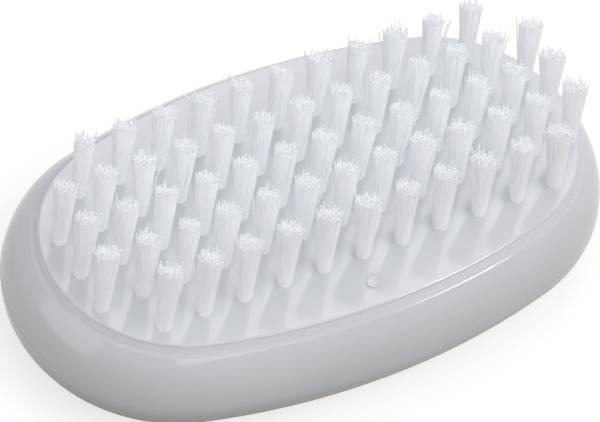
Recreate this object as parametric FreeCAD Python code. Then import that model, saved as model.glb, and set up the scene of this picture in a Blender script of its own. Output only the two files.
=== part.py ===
import FreeCAD, Part
import math
import os

# Nail brush lying on its back with the bristles up, in millimetres.
# Origin: centre of the flat back, on the surface that the brush lies on.
# +X runs along the brush, +Y across it, +Z up through the bristles.

# Bristle plate
plate_length = 86.2
plate_width = 46.2
plate_side_radius = 110.0
plate_rise = 1.6
plate_edge_slope = 0.35
plate_edge_round = 0.45
plate_floor = 1.8

# Back shell
body_depth = 18.0
bulge_reach = 4.6
bulge_height = 8.2
shell_wall = 2.4
rim_width = 0.5
rim_round = 0.4

# Seat of the plate in the shell's mouth
ledge_width = 2.0
ledge_thickness = 1.8
plug_depth = 1.2
seat_clearance = 0.12

# Gate mark on the plate
gate_mark_diameter = 3.2
gate_mark_depth = 0.25
gate_mark_inset = 4.1
gate_mark_x = -0.5
gate_stub_diameter = 2.1
gate_stub_height = 0.22
gate_stub_round = 0.12

# Bristle field
column_count = 13
row_count = 5
field_end_margin = 3.5
field_side_margin = 9.9
field_shift_x = 0.6
field_shift_y = -0.6
hole_diameter = 2.2
hole_depth = 4.6

# Tufts
tuft_clearance = 0.05
tuft_free_height = 12.3
tuft_top_diameter = 3.6
tuft_sides = 10

# Anchors
anchor_thickness = 0.35
anchor_width = 1.6
anchor_bite = 0.2
fold_thickness = 0.8

# Heights above the back
plate_top = body_depth
rim_height = plate_top - plate_rise
hole_floor = plate_top - hole_depth
plate_underside = hole_floor - plate_floor
ledge_height = plate_underside + plug_depth
tuft_top = plate_top + tuft_free_height

# Offsets from the plate's top outline, outwards positive
flange_offset = plate_edge_slope
rebate_offset = flange_offset + seat_clearance
rim_offset = rebate_offset + rim_width
mouth_offset = rebate_offset - ledge_width
plug_offset = mouth_offset - seat_clearance
base_offset = bulge_reach - bulge_height
core_offset = base_offset - shell_wall

# Plan of the plate's top outline: two flat side arcs joined by two tangent end arcs
half_length = plate_length / 2
half_width = plate_width / 2
side_centre = plate_side_radius - half_width
end_radius = (plate_side_radius**2 - side_centre**2 - half_length**2) / (2 * (plate_side_radius - half_length))
end_centre = half_length - end_radius
side_half_angle = math.degrees(math.atan2(end_centre, side_centre))
UP = FreeCAD.Vector(0, 0, 1)


def outline_arcs():
    """Centre, radius and first and last angle of each arc of the plate's top outline, anticlockwise."""
    arcs = []
    for facing, sign in ((0, 1), (180, -1)):
        end = FreeCAD.Vector(sign * end_centre, 0, 0)
        arcs.append((end, end_radius, facing - 90 + side_half_angle, facing + 90 - side_half_angle))
        flank = FreeCAD.Vector(0, -sign * side_centre, 0)
        arcs.append((flank, plate_side_radius, facing + 90 - side_half_angle, facing + 90 + side_half_angle))
    return arcs


def oval_face(offset, height):
    """Flat face inside the plate's top outline moved outwards by offset."""
    edges = []
    for centre, radius, first, last in outline_arcs():
        circle = Part.Circle(centre + UP * height, UP, radius + offset)
        edges.append(Part.Arc(circle, math.radians(first), math.radians(last)).toShape())
    return Part.Face(Part.Wire(edges))


def oval_ring(section):
    """Solid swept round the plate's top outline by a closed section drawn in offset and height."""
    segments = []
    for centre, radius, first, last in outline_arcs():
        profile = Part.Face(Part.Wire(section))
        profile.translate(FreeCAD.Vector(radius, 0, 0))
        profile.rotate(FreeCAD.Vector(0, 0, 0), UP, first)
        profile.translate(centre)
        segments.append(profile.revolve(centre, UP, last - first))
    return segments[0].multiFuse(segments[1:])


def section_point(offset, height):
    return FreeCAD.Vector(offset, 0, height)


def section_arc(centre, radius, first, last):
    """Arc of a section between two angles, with 0 pointing outwards and 90 up."""
    points = []
    for angle in (first, (first + last) / 2, last):
        turn = math.radians(angle)
        points.append(centre + section_point(radius * math.cos(turn), radius * math.sin(turn)))
    return Part.Arc(*points)


def closed_section(arcs, corners):
    """Edges of a closed section: arcs that follow each other, then straight lines through the corners."""
    points = [arcs[-1].EndPoint] + corners + [arcs[0].StartPoint]
    lines = [Part.LineSegment(start, end) for start, end in zip(points, points[1:])]
    return [curve.toShape() for curve in arcs + lines]


def shell_skin():
    """Outer curve of the shell: back radius up to the widest line, shoulder above it, rounded rim."""
    back = section_arc(section_point(base_offset, bulge_height), bulge_height, -90, 0)
    reach = bulge_reach - rim_offset
    climb = rim_height - bulge_height
    shoulder_radius = (reach**2 + climb**2) / (2 * reach)
    shoulder_centre = section_point(bulge_reach - shoulder_radius, bulge_height)
    round_path = shoulder_radius - rim_round
    meeting = math.asin((climb - rim_round) / round_path)
    shoulder = section_arc(shoulder_centre, shoulder_radius, 0, math.degrees(meeting))
    round_shift = section_point(round_path * math.cos(meeting), round_path * math.sin(meeting))
    rim = section_arc(shoulder_centre + round_shift, rim_round, math.degrees(meeting), 90)
    return [back, shoulder, rim]


def make_back_shell():
    """Hollow grip: flat back, convex side, and a rebated mouth with a ledge that carries the plate."""
    hollow_corner = (bulge_height - shell_wall) * math.sqrt(0.5)
    inside = [
        section_point(rebate_offset, rim_height),
        section_point(rebate_offset, ledge_height),
        section_point(mouth_offset, ledge_height),
        section_point(mouth_offset, ledge_height - ledge_thickness),
        section_point(bulge_reach - shell_wall, bulge_height),
        section_point(base_offset + hollow_corner, bulge_height - hollow_corner),
        section_point(base_offset, shell_wall),
        section_point(core_offset, shell_wall),
        section_point(core_offset, 0),
    ]
    wall = oval_ring(closed_section(shell_skin(), inside))
    floor = oval_face(core_offset, 0).extrude(UP * shell_wall)
    return wall.fuse(floor).removeSplitter()


def plate_blank():
    """Plate without its holes: plug in the mouth, flange on the ledge, sloping edge with a rounded top."""
    slope = math.degrees(math.atan2(plate_rise, plate_edge_slope))
    setback = plate_edge_round * math.tan(math.radians(slope / 2))
    round_centre = section_point(-setback, plate_top - plate_edge_round)
    edge_round = section_arc(round_centre, plate_edge_round, 90 - slope, 90)
    below = [
        section_point(core_offset, plate_top),
        section_point(core_offset, plate_underside),
        section_point(plug_offset, plate_underside),
        section_point(plug_offset, ledge_height),
        section_point(flange_offset, ledge_height),
        section_point(flange_offset, rim_height),
    ]
    rim = oval_ring(closed_section([edge_round], below))
    middle = oval_face(core_offset, plate_underside).extrude(UP * (plate_top - plate_underside))
    return rim.fuse(middle).removeSplitter()


def column_places():
    """Tuft places of each column, a little off the plate's centre; the outer rows stop one column short."""
    column_pitch = (plate_length - 2 * field_end_margin) / (column_count - 1)
    row_pitch = (plate_width - 2 * field_side_margin) / (row_count - 1)
    columns = []
    for column in range(column_count):
        at_end = column in (0, column_count - 1)
        rows = range(1, row_count - 1) if at_end else range(row_count)
        x = field_end_margin + column * column_pitch - half_length + field_shift_x
        first_y = field_side_margin - half_width + field_shift_y
        columns.append([(x, first_y + row * row_pitch) for row in rows])
    return columns


def make_anchor(x, y):
    """Flat wire on edge across the hole, with both ends bitten into the hole's wall."""
    length = hole_diameter + 2 * anchor_bite
    corner = FreeCAD.Vector(x - anchor_thickness / 2, y - length / 2, hole_floor + fold_thickness)
    return Part.makeBox(anchor_thickness, length, anchor_width, corner)


def make_hole(x, y):
    """Blind hole of one tuft, with the notches that the anchor's ends bite into its wall."""
    bore = Part.makeCylinder(hole_diameter / 2, hole_depth, FreeCAD.Vector(x, y, hole_floor))
    return bore.fuse(make_anchor(x, y))


def make_gate_mark():
    """Shallow round dimple where the plate's mould was filled."""
    half = gate_mark_diameter / 2
    radius = (half**2 + gate_mark_depth**2) / (2 * gate_mark_depth)
    height = plate_top - gate_mark_depth + radius
    return Part.makeSphere(radius, FreeCAD.Vector(gate_mark_x, gate_mark_inset - half_width, height))


def make_gate_stub():
    """Round-edged stub left standing in the gate mark, a little lower than the plate's top."""
    foot = FreeCAD.Vector(gate_mark_x, gate_mark_inset - half_width, plate_top - gate_mark_depth)
    stub = Part.makeCylinder(gate_stub_diameter / 2, gate_stub_height, foot)
    top_edges = [edge for edge in stub.Edges if edge.BoundBox.ZMin > foot.z]
    return stub.makeFillet(gate_stub_round, top_edges)


def make_bristle_plate(columns):
    holes = [make_hole(x, y) for places in columns for x, y in places]
    return plate_blank().cut(holes + [make_gate_mark()]).fuse(make_gate_stub())


def bundle_ring(x, y, diameter, height):
    """Corners of a bundle of filaments, cut across."""
    corners = []
    for side in range(tuft_sides):
        turn = 2 * math.pi * (side + 0.5) / tuft_sides
        across = FreeCAD.Vector(math.cos(turn), math.sin(turn), 0)
        corners.append(FreeCAD.Vector(x, y, height) + across * (diameter / 2))
    return corners


def polygon_face(corners):
    return Part.Face(Part.makePolygon(corners + corners[:1]))


def make_tuft(x, y):
    """Folded bundle: packed straight in its hole, flaring above the plate, with its fold under the anchor."""
    packed_diameter = hole_diameter - 2 * tuft_clearance
    rings = [
        bundle_ring(x, y, packed_diameter, hole_floor),
        bundle_ring(x, y, packed_diameter, plate_top),
        bundle_ring(x, y, tuft_top_diameter, tuft_top),
    ]
    faces = [polygon_face(rings[0]), polygon_face(rings[-1])]
    for low, high in zip(rings, rings[1:]):
        for side in range(tuft_sides):
            faces.append(polygon_face([low[side - 1], low[side], high[side], high[side - 1]]))
    return Part.Solid(Part.makeShell(faces)).cut(make_anchor(x, y))


def write_node(name, shape):
    shape.exportStep(os.path.join("parts", name + ".step"))


os.makedirs("parts", exist_ok=True)
columns = column_places()
write_node("back_shell", make_back_shell())
write_node("bristle_plate", make_bristle_plate(columns))
for number, places in enumerate(columns, start=1):
    write_node(f"tufts_column_{number:02d}", Part.makeCompound([make_tuft(x, y) for x, y in places]))
    write_node(f"anchors_column_{number:02d}", Part.makeCompound([make_anchor(x, y) for x, y in places]))
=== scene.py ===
import math
import random

import bpy
from mathutils import Matrix, Vector


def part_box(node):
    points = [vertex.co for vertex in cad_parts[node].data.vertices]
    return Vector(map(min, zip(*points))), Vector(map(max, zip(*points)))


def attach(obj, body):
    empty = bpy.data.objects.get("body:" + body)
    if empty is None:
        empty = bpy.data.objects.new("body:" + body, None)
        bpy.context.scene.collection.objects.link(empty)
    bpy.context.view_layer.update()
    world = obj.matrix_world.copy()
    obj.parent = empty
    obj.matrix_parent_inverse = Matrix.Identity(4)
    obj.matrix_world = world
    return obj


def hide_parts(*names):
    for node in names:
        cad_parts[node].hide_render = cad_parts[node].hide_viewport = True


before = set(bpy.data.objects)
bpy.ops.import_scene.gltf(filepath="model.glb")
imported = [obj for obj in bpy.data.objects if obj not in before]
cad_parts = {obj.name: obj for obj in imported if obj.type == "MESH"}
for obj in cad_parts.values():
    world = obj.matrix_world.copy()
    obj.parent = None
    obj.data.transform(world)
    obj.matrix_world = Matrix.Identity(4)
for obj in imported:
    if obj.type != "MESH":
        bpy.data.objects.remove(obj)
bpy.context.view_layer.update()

# Nail brush lying on its back.
# Sizes are in millimetres, angles in degrees and colours in linear light, unless a comment says otherwise.
MM = 0.001
WHITE = (1, 1, 1, 1)

# Camera, worked out from the photograph's grid of tufts and outlines
IMAGE_WIDTH = 600
CAMERA_FOCAL_PIXELS = 5035.5
CAMERA_SENSOR = 36.0
CAMERA_DISTANCE = 736.4
CAMERA_AZIMUTH = -128.25
CAMERA_ELEVATION = 50.61
CAMERA_ROLL = 11.62
CAMERA_AIM = (-3.99, -3.27)

# Filaments as they are packed in a hole on both sides of the anchor, and close up above it
FILAMENT_DIAMETER = 0.22
FILAMENT_SIDES = 6
FILAMENT_SPACING = 0.205
FILAMENT_BOW = 0.1
PACKED_RADIUS = 0.98
NECK_RADIUS = 1.0
ANCHOR_GAP = 0.28
ANCHOR_TOP = 2.4
GAP_CLOSING = 0.7

# Heights over the hole's floor at which the innermost and the outermost filament fold under the anchor
FOLD_TOP = 0.7
FOLD_BOTTOM = 0.12

# Points of a fold, outwards and upwards, as shares of the filament's distance from the hole's middle
FOLD_POINTS = ((1.0, 0.6), (0.6, 0.12), (0.0, 0.0), (-0.6, 0.12), (-1.0, 0.6))

# Tips: how far a tuft flares, how that changes across the brush, and what differs from one to the next
TIP_RADIUS = 1.85
TIP_RADIUS_TREND = -0.013
TIP_RADIUS_SPREAD = 0.09
TIP_JITTER = 0.09
TIP_DROP = 0.05
TIP_HEIGHT_SPREAD = 0.38
STRAY_SHARE = 0.06
STRAY_REACH = (0.4, 1.1)

# Fan and lean: tufts flare less across the fan's direction, lean one way and gather towards the middle
FAN_AZIMUTH = -38.0
FAN_DEPTH = 0.55
TUFT_LEAN = (-0.34, 0.54)
TUFT_GATHER = (-0.0126, -0.0163)
TUFT_LEAN_SPREAD = 0.1

# Packed middle of a tuft: its levels are shares of its height, and its flutes a share of its radius
CORE_ROOT_DEPTH = 0.5
CORE_ROOT_RADIUS = 1.1
CORE_FOOT_RADIUS = 1.11
CORE_INSET = 0.08
CORE_DROP = 0.95
CORE_LEVELS = (0.06, 0.2, 0.4, 0.6, 0.8, 1.0)
CORE_DIMPLE = 0.2
CORE_SIDES = 88
CORE_FLUTES = 22
CORE_FLUTE_DEPTH = 0.035

# Radius in plan of the shell's long sides, at its widest line
SHELL_SIDE_RADIUS = 114.6

# Fine raised lines of the moulds: parting line of the shell, and line on the plate's wall, inside its flange
RIDGE_WIDTH = 0.14
RIDGE_RISE = 0.02
RIDGE_STEPS = 720
RIDGE_SIDES = 8
PARTING_HEIGHT = 8.6
WALL_LINE_HEIGHT = 17.16
WALL_LINE_REACH = -0.166

# Weld bead over the seam: distances out from the plate's flange and heights over the shell's rim
BEAD_SECTION = (
    (-0.2, 0.27), (-0.075, 0.26), (-0.03, 0.205), (0.0, 0.19), (0.15, 0.137), (0.35, 0.064), (0.55, -0.008),
    (0.594, -0.024), (0.5, -0.2), (0.07, -0.4), (0.02, -0.4),
)
BEAD_STEPS = 2400
BEAD_WAVES = (53, 131, 307)
BEAD_WOBBLE = 0.005

# Edges sharper than this keep their corner, such as the trimmed ends of the filaments
SHARP_ANGLE = 75

# Milky plastic: colours of its darker and lighter clouds, of the painted shade at the shell's foot and of the
# painted light on the plate's thin wall
PLASTIC_IOR = 1.49
PLASTIC_ROUGHNESS = 0.1
SHELL_CLOUDS = ((0.5, 0.52, 0.545), (0.53, 0.55, 0.575))
SHELL_FOOT_PAINTED_SHADE = (0.19, 0.174, 0.15)
PLATE_CLOUDS = ((0.495, 0.515, 0.54), (0.525, 0.545, 0.57))
PLATE_WALL_PAINTED_LIGHT = (0.7, 0.72, 0.75)

# Roughness of the shell's foot, side and rim, and of the plate's skin from its smoothest to its dullest place
SHELL_FOOT_ROUGHNESS = 0.45
SHELL_SIDE_ROUGHNESS = 0.14
SHELL_RIM_ROUGHNESS = 0.05
PLATE_ROUGHNESS = (0.07, 0.12)

# Heights between which one look goes over into the next: foot to side, side to rim, and plate's wall to top;
# the foot's painted shade and the wall's painted light fade over them
SHELL_FOOT_BLEND = (3.0, 9.0)
SHELL_RIM_BLEND = (15.5, 16.0)
PLATE_WALL_BLEND = (17.5, 17.8)

# Nylon: colours of its darkest and lightest side, its tip and the painted shade of its trimmed end and other
# faces that look up, and its share of a shadow
NYLON_IOR = 1.53
NYLON_ROUGHNESS = 0.35
NYLON_ROUGHNESS_ENDS = (0.28, 0.45)
BRISTLE_SIDE_COLORS = ((0.89, 0.905, 0.93), (0.94, 0.955, 0.98))
BRISTLE_TIP_COLOR = (0.93, 0.945, 0.965)
BRISTLE_END_PAINTED_SHADE = (0.67, 0.685, 0.705)
BRISTLE_SHADE = 0.0
CORE_SIDE_COLORS = ((0.94, 0.955, 0.98), (0.96, 0.975, 0.995))
CORE_TIP_COLOR = (0.94, 0.955, 0.98)
CORE_END_PAINTED_SHADE = (0.61, 0.625, 0.645)
CORE_SHADE = 0.3

# Drawn wire: its plain look, and the colours and roughness from line to line
WIRE_COLOR = (0.62, 0.62, 0.6)
WIRE_ROUGHNESS = 0.35
WIRE_LINE_COLORS = ((0.54, 0.54, 0.52), (0.68, 0.68, 0.66))
WIRE_LINE_ROUGHNESS = (0.25, 0.5)

# Values from 0 to 1 at which a ramp of colours starts and ends
RAMP_START = 0.3
RAMP_END = 0.7

# Floor: half its width in metres, its drop below the brush, and the glow that makes it look white
FLOOR_REACH = 3.0
FLOOR_DROP = 0.05
FLOOR_COLOR = (0.31, 0.302, 0.292)
FLOOR_ROUGHNESS = 0.9
FLOOR_GLOW = 0.71

random.seed(61)


def node_names(prefix):
    return sorted(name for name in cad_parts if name.startswith(prefix))


def box_mm(node):
    """Lowest and highest corner of a CAD node in millimetres."""
    low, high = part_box(node)
    return low / MM, high / MM


plate_top = box_mm("bristle_plate")[1].z
tuft_nodes = node_names("tufts_column_")
tuft_low, tuft_high = box_mm(tuft_nodes[1])
hole_floor = tuft_low.z
tuft_top = tuft_high.z
tuft_pitch = (box_mm(tuft_nodes[-1])[0].x - box_mm(tuft_nodes[0])[0].x) / (len(tuft_nodes) - 1)


def column_feet(node):
    """Middles of the tufts of one column, on the level of the frame's origin."""
    low, high = box_mm(node)
    rows = round((high.y - low.y - (high.x - low.x)) / tuft_pitch) + 1
    first_y = (low.y + high.y) / 2 - (rows - 1) / 2 * tuft_pitch
    return [Vector(((low.x + high.x) / 2, first_y + row * tuft_pitch, 0)) for row in range(rows)]


# Nodes of materials and of the world, either of which is called the owner


def add_node(owner, kind, **values):
    """Adds a shader node; values name its properties or its input sockets."""
    node = owner.node_tree.nodes.new(kind)
    for name, value in values.items():
        if name in node.inputs:
            node.inputs[name].default_value = value
        else:
            setattr(node, name, value)
    return node


def feed(owner, target, source):
    """Links a node's output to a socket, or sets the socket to a plain value."""
    if isinstance(source, bpy.types.NodeSocket):
        owner.node_tree.links.new(source, target)
    else:
        target.default_value = source


def spread(owner, value, low, high):
    """A value from 0 to 1 turned into one between low and high, each a number or a node's output."""
    node = add_node(owner, "ShaderNodeMapRange")
    feed(owner, node.inputs["Value"], value)
    feed(owner, node.inputs["To Min"], low)
    feed(owner, node.inputs["To Max"], high)
    return node.outputs["Result"]


def split_vector(owner, vector):
    """Outputs X, Y and Z of a vector."""
    node = add_node(owner, "ShaderNodeSeparateXYZ")
    feed(owner, node.inputs["Vector"], vector)
    return node.outputs


def seen_directly(owner):
    """1 where the camera, a reflection or a view through glass meets the surface, 0 for other light."""
    path = add_node(owner, "ShaderNodeLightPath")
    total = path.outputs["Is Camera Ray"]
    for name in ("Is Glossy Ray", "Is Transmission Ray"):
        either = add_node(owner, "ShaderNodeMath", operation="MAXIMUM")
        feed(owner, either.inputs[0], total)
        feed(owner, either.inputs[1], path.outputs[name])
        total = either.outputs["Value"]
    return total


def noise(owner, cells, detail, stretch=(1, 1, 1)):
    """Noise in the part's own frame, in cells per metre, whose cells can be stretched along the axes."""
    place = add_node(owner, "ShaderNodeTexCoord")
    mapping = add_node(owner, "ShaderNodeMapping", Scale=stretch)
    texture = add_node(owner, "ShaderNodeTexNoise", Scale=cells, Detail=detail)
    feed(owner, mapping.inputs["Vector"], place.outputs["Object"])
    feed(owner, texture.inputs["Vector"], mapping.outputs["Vector"])
    return texture.outputs["Fac"]


def ramp(owner, value, low, high):
    """Colour between two ends, driven by a value from 0 to 1."""
    node = add_node(owner, "ShaderNodeValToRGB")
    first, last = node.color_ramp.elements
    first.position = RAMP_START
    first.color = (*low, 1)
    last.position = RAMP_END
    last.color = (*high, 1)
    feed(owner, node.inputs["Fac"], value)
    return node.outputs["Color"]


def blend(owner, share, first, second):
    """Colour that goes from a plain first one to a second one, which a node gives, with a share."""
    node = add_node(owner, "ShaderNodeMixRGB", Color1=(*first, 1))
    feed(owner, node.inputs["Fac"], share)
    feed(owner, node.inputs["Color2"], second)
    return node.outputs["Color"]


def height_share(owner, start, end):
    """Share of the way from one height of the brush to another, which may be the lower one."""
    place = add_node(owner, "ShaderNodeTexCoord")
    share = add_node(owner, "ShaderNodeMapRange", interpolation_type="SMOOTHSTEP")
    feed(owner, share.inputs["From Min"], start * MM)
    feed(owner, share.inputs["From Max"], end * MM)
    feed(owner, share.inputs["Value"], split_vector(owner, place.outputs["Object"])["Z"])
    return share.outputs["Result"]


def bump(owner, shader, height, strength, depth):
    """Fine unevenness of a surface, with its depth in millimetres."""
    node = add_node(owner, "ShaderNodeBump", Strength=strength, Distance=depth * MM)
    feed(owner, node.inputs["Height"], height)
    feed(owner, shader.inputs["Normal"], node.outputs["Normal"])


# Materials


def new_material(name, base_color, roughness):
    """Principled material with a plain colour and roughness, which stand in where its nodes aren't read."""
    material = bpy.data.materials.new(name)
    material.use_nodes = True
    shader = material.node_tree.nodes["Principled BSDF"]
    shader.inputs["Base Color"].default_value = (*base_color, 1)
    shader.inputs["Roughness"].default_value = roughness
    return material, shader


def milky_plastic(name, clouds):
    """Clouded glossy plastic with soft flow waves: the material, its shader and its clouded colour."""
    material, shader = new_material(name, clouds[1], PLASTIC_ROUGHNESS)
    shader.inputs["IOR"].default_value = PLASTIC_IOR
    bump(material, shader, noise(material, cells=90, detail=2), strength=0.06, depth=0.3)
    return material, shader, ramp(material, noise(material, cells=60, detail=3), *clouds)


def shell_plastic():
    """Milky plastic with painted shade that makes it darker and warmer towards its back, where it is also
    duller, and shiniest at its rim.
    """
    material, shader, milk = milky_plastic("shell_plastic_look", SHELL_CLOUDS)
    side_share = height_share(material, *SHELL_FOOT_BLEND)
    rim_share = height_share(material, *SHELL_RIM_BLEND)
    # Painted shade: the colour goes darker and warmer towards the shell's foot
    feed(material, shader.inputs["Base Color"], blend(material, side_share, SHELL_FOOT_PAINTED_SHADE, milk))
    upper_roughness = spread(material, rim_share, SHELL_SIDE_ROUGHNESS, SHELL_RIM_ROUGHNESS)
    roughness = spread(material, side_share, SHELL_FOOT_ROUGHNESS, upper_roughness)
    feed(material, shader.inputs["Roughness"], roughness)
    return material


def plate_plastic():
    """Milky plastic with a fine skin, and with painted light that makes the plate's thin wall lighter."""
    material, shader, milk = milky_plastic("plate_plastic_look", PLATE_CLOUDS)
    top_share = height_share(material, *PLATE_WALL_BLEND)
    # Painted light: the plate's wall below its top edge is given a lighter colour
    feed(material, shader.inputs["Base Color"], blend(material, top_share, PLATE_WALL_PAINTED_LIGHT, milk))
    skin = noise(material, cells=220, detail=4)
    feed(material, shader.inputs["Roughness"], spread(material, skin, *PLATE_ROUGHNESS))
    return material


def nylon(name, shade, sides, tip, end):
    """White nylon that differs a little from filament to filament, has painted shade on faces that look up,
    such as its trimmed ends, and casts only a share of a shadow.
    """
    material, shader = new_material(name, sides[1], NYLON_ROUGHNESS)
    shader.inputs["IOR"].default_value = NYLON_IOR
    geometry = add_node(material, "ShaderNodeNewGeometry")
    streaks = ramp(material, geometry.outputs["Random Per Island"], *sides)
    low_share = height_share(material, tuft_top - TIP_DROP, tuft_top - CORE_DROP)
    side_color = blend(material, low_share, tip, streaks)
    # Painted shade: faces that look up, such as the trimmed ends and the core's top, take the darker end
    # colour
    facing_up = split_vector(material, geometry.outputs["True Normal"])["Z"]
    side_share = spread(material, facing_up, 1.0, 0.0)
    feed(material, shader.inputs["Base Color"], blend(material, side_share, end, side_color))
    skin = noise(material, cells=2500, detail=2)
    feed(material, shader.inputs["Roughness"], spread(material, skin, *NYLON_ROUGHNESS_ENDS))
    path = add_node(material, "ShaderNodeLightPath")
    feed(material, shader.inputs["Alpha"], spread(material, path.outputs["Is Shadow Ray"], 1.0, shade))
    return material


def drawn_wire():
    """Flat drawn wire with fine lines along its length."""
    material, shader = new_material("anchor_wire_look", WIRE_COLOR, WIRE_ROUGHNESS)
    shader.inputs["Metallic"].default_value = 1.0
    lines = noise(material, cells=4000, detail=3, stretch=(1, 0.03, 1))
    feed(material, shader.inputs["Base Color"], ramp(material, lines, *WIRE_LINE_COLORS))
    feed(material, shader.inputs["Roughness"], spread(material, lines, *WIRE_LINE_ROUGHNESS))
    bump(material, shader, lines, strength=0.2, depth=0.02)
    return material


def give_material(prefix, material):
    """Gives a material to the CAD nodes whose names start with a prefix."""
    for name in node_names(prefix):
        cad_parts[name].data.materials[0] = material


# Pieces


def finish_piece(name, vertices, faces, material):
    """Makes a smooth mesh object from points in millimetres and lets it ride with the brush."""
    mesh = bpy.data.meshes.new(name)
    mesh.from_pydata([point * MM for point in vertices], [], faces)
    mesh.materials.append(material)
    mesh.shade_smooth()
    mesh.set_sharp_from_angle(angle=math.radians(SHARP_ANGLE))
    piece = bpy.data.objects.new(name, mesh)
    bpy.context.scene.collection.objects.link(piece)
    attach(piece, "root")
    return piece


def close_rings(faces, first, rings, sides):
    """Adds the faces of a closed tube whose rings of points follow each other from a first point."""
    for ring in range(rings - 1):
        for side in range(sides):
            low = first + ring * sides
            after = (side + 1) % sides
            faces.append((low + side, low + after, low + sides + after, low + sides + side))
    last = first + (rings - 1) * sides
    faces.append(tuple(first + side for side in reversed(range(sides))))
    faces.append(tuple(last + side for side in range(sides)))


def add_tube(vertices, faces, path, radius, sides):
    """Adds a tube with flat ends along a path of points."""
    first = len(vertices)
    for number, point in enumerate(path):
        ahead = path[min(number + 1, len(path) - 1)] - path[max(number - 1, 0)]
        across = ahead.cross(Vector((0.0, 1.0, 0.0))).normalized()
        along = ahead.cross(across).normalized()
        for side in range(sides):
            turn = 2 * math.pi * side / sides
            vertices.append(point + (across * math.cos(turn) + along * math.sin(turn)) * radius)
    close_rings(faces, first, len(path), sides)


def half_hole_places():
    """Places of the filaments on one side of the anchor, in a close packing of staggered rows."""
    places = []
    row_step = FILAMENT_SPACING * math.sqrt(0.75)
    rows = int(PACKED_RADIUS / row_step)
    for row in range(-rows, rows + 1):
        across = row * row_step
        shift = FILAMENT_SPACING / 2 if row % 2 else 0
        out = ANCHOR_GAP + shift
        while math.hypot(out, across) < PACKED_RADIUS:
            places.append((out, across))
            out += FILAMENT_SPACING
    return places


def fan_out(place, wide, deep):
    """A place in a tuft's section, stretched along the direction in which tufts fan out and across it."""
    turn = math.radians(FAN_AZIMUTH)
    along = Vector((math.cos(turn), math.sin(turn), 0))
    across = Vector((-math.sin(turn), math.cos(turn), 0))
    return along * place.dot(along) * wide + across * place.dot(across) * deep


def filament_end(foot, side, out, across, lean, tip_radius):
    """Points of one filament from beside the anchor up to its trimmed tip."""
    closing = ANCHOR_GAP * GAP_CLOSING
    crowd = (out - closing) / (PACKED_RADIUS - closing)
    neck = Vector((side * crowd * NECK_RADIUS, across * NECK_RADIUS / PACKED_RADIUS, 0))
    flare = tip_radius / NECK_RADIUS
    tip_shift = fan_out(neck, flare, flare * FAN_DEPTH) + lean
    tip_shift += Vector((random.gauss(0, TIP_JITTER), random.gauss(0, TIP_JITTER), 0))
    height = tuft_top - TIP_DROP + random.gauss(0, TIP_HEIGHT_SPREAD)
    if random.random() < STRAY_SHARE:
        tip_shift += neck.normalized() * random.uniform(*STRAY_REACH)
    bow = neck * random.uniform(-FILAMENT_BOW, FILAMENT_BOW)
    beside_anchor = foot + Vector((side * out, across, hole_floor + ANCHOR_TOP))
    at_plate = foot + neck + Vector((0, 0, plate_top))
    tip = foot + tip_shift + Vector((0, 0, height))
    middle = (at_plate + tip) / 2 + bow
    return [beside_anchor, at_plate, middle, tip]


def folded_filament(foot, out, across, lean, tip_radius):
    """Path of a filament from one tip down round the anchor and up to its other tip."""
    share = (out - ANCHOR_GAP) / (PACKED_RADIUS - ANCHOR_GAP)
    bend = hole_floor + FOLD_TOP + (FOLD_BOTTOM - FOLD_TOP) * share
    first = filament_end(foot, 1, out, across, lean, tip_radius)
    second = filament_end(foot, -1, out, across, lean, tip_radius)
    fold = [foot + Vector((reach * out, across, bend + lift * out)) for reach, lift in FOLD_POINTS]
    return list(reversed(first)) + fold + second


def core_rings(top_radius):
    """Height over the plate, half widths along and across the fan, and flute depth of each ring of a core."""
    root = (-CORE_ROOT_DEPTH, CORE_ROOT_RADIUS, CORE_ROOT_RADIUS, 0)
    rings = [root, (0, CORE_FOOT_RADIUS, CORE_FOOT_RADIUS, 0)]
    reach = tuft_top - CORE_DROP - plate_top
    for level in CORE_LEVELS:
        flare_share = level * reach / (tuft_top - plate_top)
        wide = CORE_FOOT_RADIUS + (top_radius - CORE_FOOT_RADIUS) * flare_share
        deep = CORE_FOOT_RADIUS + (top_radius * FAN_DEPTH - CORE_FOOT_RADIUS) * flare_share
        rings.append((level * reach, wide, deep, CORE_FLUTE_DEPTH))
    rings.append((reach - CORE_DIMPLE, wide / 2, deep / 2, 0))
    return rings


def add_core(vertices, faces, foot, lean, top_radius):
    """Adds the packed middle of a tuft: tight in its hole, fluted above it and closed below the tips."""
    first = len(vertices)
    rings = core_rings(top_radius)
    for height, wide, deep, flute in rings:
        climb = max(0, height / (tuft_top - plate_top))
        for side in range(CORE_SIDES):
            turn = 2 * math.pi * side / CORE_SIDES
            rim = Vector((math.cos(turn), math.sin(turn), 0)) * (1 + flute * math.cos(turn * CORE_FLUTES))
            level = Vector((0, 0, plate_top + height))
            vertices.append(foot + lean * climb + fan_out(rim, wide, deep) + level)
    close_rings(faces, first, len(rings), CORE_SIDES)


def make_column(node, material, core_material):
    """Bristles of one column of tufts, in the place of its CAD node."""
    vertices = []
    faces = []
    core_vertices = []
    core_faces = []
    for foot in column_feet(node):
        lean = Vector((*TUFT_LEAN, 0))
        lean += Vector((TUFT_GATHER[0] * foot.x, TUFT_GATHER[1] * foot.y, 0))
        lean += Vector((random.gauss(0, TUFT_LEAN_SPREAD), random.gauss(0, TUFT_LEAN_SPREAD), 0))
        tip_radius = TIP_RADIUS + TIP_RADIUS_TREND * foot.y + random.gauss(0, TIP_RADIUS_SPREAD)
        add_core(core_vertices, core_faces, foot, lean, tip_radius - CORE_INSET)
        for out, across in half_hole_places():
            path = folded_filament(foot, out, across, lean, tip_radius)
            add_tube(vertices, faces, path, FILAMENT_DIAMETER / 2, FILAMENT_SIDES)
    bristles = finish_piece(node.replace("tufts", "bristles"), vertices, faces, material)
    bristles.visible_shadow = False
    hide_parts(node)
    core_name = node.replace("tufts", "tuft_cores")
    core = finish_piece(core_name, core_vertices, core_faces, core_material)
    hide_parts(node)


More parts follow.
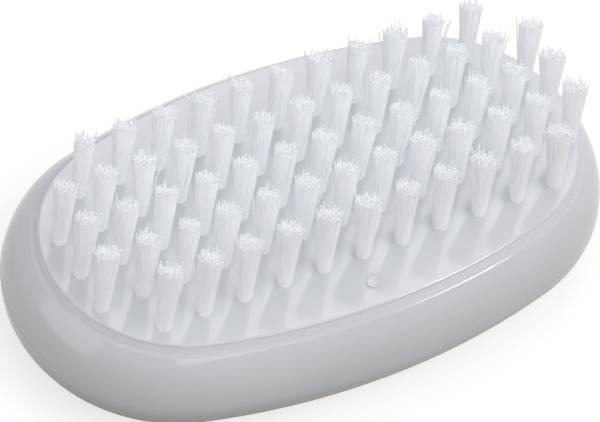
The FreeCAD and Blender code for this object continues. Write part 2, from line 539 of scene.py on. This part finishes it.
def shell_outline(steps):
    """Points and outward directions round the shell's widest line: flat side arcs and tangent end arcs."""
    high = box_mm("back_shell")[1]
    half_length = high.x
    half_width = high.y
    flank = SHELL_SIDE_RADIUS - half_width
    end_radius = (SHELL_SIDE_RADIUS**2 - flank**2 - half_length**2) / (2 * (SHELL_SIDE_RADIUS - half_length))
    end_centre = half_length - end_radius
    side_angle = math.atan2(end_centre, flank)
    outline = []
    for step in range(steps):
        turn = 2 * math.pi * step / steps
        from_side = abs(math.atan2(math.cos(turn), abs(math.sin(turn))))
        outward = Vector((math.cos(turn), math.sin(turn), 0))
        if from_side < side_angle:
            centre = Vector((0, -math.copysign(flank, math.sin(turn)), 0))
            radius = SHELL_SIDE_RADIUS
        else:
            centre = Vector((math.copysign(end_centre, math.cos(turn)), 0, 0))
            radius = end_radius
        outline.append((centre + outward * radius, outward))
    return outline


def ring_faces(steps, sides):
    """Faces of a closed ring whose sections follow each other all the way round."""
    faces = []
    for step in range(steps):
        low = step * sides
        high = (step + 1) % steps * sides
        for side in range(sides):
            after = (side + 1) % sides
            faces.append((low + side, high + side, high + after, low + after))
    return faces


def make_ridge(name, reach, height, material):
    """Fine raised line that a mould leaves all round, a distance out from the shell's widest line."""
    vertices = []
    for point, outward in shell_outline(RIDGE_STEPS):
        for side in range(RIDGE_SIDES):
            turn = 2 * math.pi * side / RIDGE_SIDES
            up = Vector((0, 0, height + RIDGE_WIDTH / 2 * math.sin(turn)))
            vertices.append(point + outward * (reach + RIDGE_RISE * math.cos(turn)) + up)
    finish_piece(name, vertices, ring_faces(RIDGE_STEPS, RIDGE_SIDES), material)


def make_weld_bead(flange_reach, material):
    """Uneven weld bead that closes the seam between the plate's wall and the shell's rim."""
    rim_height = box_mm("back_shell")[1].z
    waves = [(count, random.uniform(0, 2 * math.pi)) for count in BEAD_WAVES]
    vertices = []
    for step, (point, outward) in enumerate(shell_outline(BEAD_STEPS)):
        turn = 2 * math.pi * step / BEAD_STEPS
        wobble = BEAD_WOBBLE * sum(math.sin(count * turn + phase) for count, phase in waves)
        for out, up in BEAD_SECTION:
            grow = wobble if up > 0 else 0
            vertices.append(point + outward * (flange_reach + out + grow) + Vector((0, 0, rim_height + up)))
    faces = ring_faces(BEAD_STEPS, len(BEAD_SECTION))
    finish_piece("plate_weld_bead", vertices, faces, material)


# Light, floor and camera


def aim(thing, target, roll=0.0):
    """Turns a lamp or camera to face a target, rolled about its line of sight by an angle in radians."""
    facing = (target - thing.location).to_track_quat("-Z", "Y").to_matrix().to_4x4()
    place = Matrix.Translation(thing.location)
    thing.matrix_world = place @ facing @ Matrix.Rotation(roll, 4, "Z")


def direction(azimuth, elevation):
    """Unit vector from the brush at an azimuth round +Z from +X and an elevation."""
    turn = math.radians(azimuth)
    climb = math.radians(elevation)
    flat = Vector((math.cos(turn), math.sin(turn), 0)) * math.cos(climb)
    return flat + Vector((0, 0, math.sin(climb)))


def make_camera():
    """Camera at the photograph's viewing angle."""
    data = bpy.data.cameras.new("camera")
    data.sensor_width = CAMERA_SENSOR
    data.lens = CAMERA_SENSOR * CAMERA_FOCAL_PIXELS / IMAGE_WIDTH
    camera = bpy.data.objects.new("camera", data)
    bpy.context.scene.collection.objects.link(camera)
    target = Vector((*CAMERA_AIM, plate_top)) * MM
    camera.location = target + direction(CAMERA_AZIMUTH, CAMERA_ELEVATION) * CAMERA_DISTANCE * MM
    aim(camera, target, math.radians(CAMERA_ROLL))
    bpy.context.scene.camera = camera


def make_softbox(name, azimuth, elevation, distance, width, height, level):
    """White studio light with sizes in metres, whose face has a level of brightness, where 1 is white."""
    data = bpy.data.lights.new(name, "AREA")
    data.shape = "RECTANGLE"
    data.size = width
    data.size_y = height
    data.energy = level * math.pi * width * height
    lamp = bpy.data.objects.new(name, data)
    bpy.context.scene.collection.objects.link(lamp)
    lamp.location = direction(azimuth, elevation) * distance
    aim(lamp, Vector((0, 0, 0)))
    return lamp


def make_lights():
    """Soft light from four sides; on the right, a strip gives the reflection in the softbox's place."""
    make_softbox("back_softbox", azimuth=62, elevation=55, distance=0.9, width=0.6, height=0.6, level=1.9)
    make_softbox("front_softbox", azimuth=-92, elevation=46, distance=1.0, width=0.6, height=0.5, level=2.4)
    make_softbox("left_card", azimuth=176, elevation=18, distance=0.8, width=0.6, height=0.46, level=1.35)
    right = {"azimuth": -38, "elevation": 50}
    softbox = make_softbox("right_softbox", **right, distance=1.3, width=0.78, height=0.78, level=3.2)
    softbox.visible_glossy = False
    strip = make_softbox("right_strip", **right, distance=1.0, width=0.11, height=0.26, level=36.0)
    strip.visible_diffuse = False


def make_world(horizon, zenith):
    """White to look at, and a weaker fill light for the brush that grows from the horizon up."""
    world = bpy.data.worlds.new("studio")
    bpy.context.scene.world = world
    world.use_nodes = True
    background = world.node_tree.nodes["Background"]
    background.inputs["Color"].default_value = WHITE
    place = add_node(world, "ShaderNodeTexCoord")
    upwards = split_vector(world, place.outputs["Generated"])["Z"]
    fill = spread(world, upwards, horizon, zenith)
    feed(world, background.inputs["Strength"], spread(world, seen_directly(world), fill, 1.0))


def make_floor():
    """Pale floor that looks white and keeps the shadow of the brush."""
    mesh = bpy.data.meshes.new("floor")
    corners = []
    for x, y in ((-1, -1), (1, -1), (1, 1), (-1, 1)):
        corners.append((x * FLOOR_REACH, y * FLOOR_REACH, -FLOOR_DROP * MM))
    mesh.from_pydata(corners, [], [(0, 1, 2, 3)])
    floor = bpy.data.objects.new("floor", mesh)
    bpy.context.scene.collection.objects.link(floor)
    material, shader = new_material("floor_look", FLOOR_COLOR, FLOOR_ROUGHNESS)
    shader.inputs["Specular IOR Level"].default_value = 0.0
    shader.inputs["Emission Color"].default_value = WHITE
    glow = spread(material, seen_directly(material), 0.0, FLOOR_GLOW)
    feed(material, shader.inputs["Emission Strength"], glow)
    mesh.materials.append(material)


shell_look = shell_plastic()
plate_look = plate_plastic()
give_material("back_shell", shell_look)
give_material("bristle_plate", plate_look)
give_material("anchors_column_", drawn_wire())
bristle_colors = (BRISTLE_SIDE_COLORS, BRISTLE_TIP_COLOR, BRISTLE_END_PAINTED_SHADE)
bristle_look = nylon("bristle_nylon_look", BRISTLE_SHADE, *bristle_colors)
core_colors = (CORE_SIDE_COLORS, CORE_TIP_COLOR, CORE_END_PAINTED_SHADE)
core_look = nylon("tuft_core_look", CORE_SHADE, *core_colors)
for node in tuft_nodes:
    make_column(node, bristle_look, core_look)
flange_reach = box_mm("bristle_plate")[1].x - box_mm("back_shell")[1].x
wall_reach = flange_reach + WALL_LINE_REACH
make_ridge("shell_parting_line", 0, PARTING_HEIGHT, shell_look)
make_ridge("plate_wall_line", wall_reach, WALL_LINE_HEIGHT, plate_look)
make_weld_bead(flange_reach, shell_look)

make_camera()
make_world(horizon=0.17, zenith=0.75)
make_floor()
make_lights()
bpy.context.scene.view_settings.view_transform = "Standard"
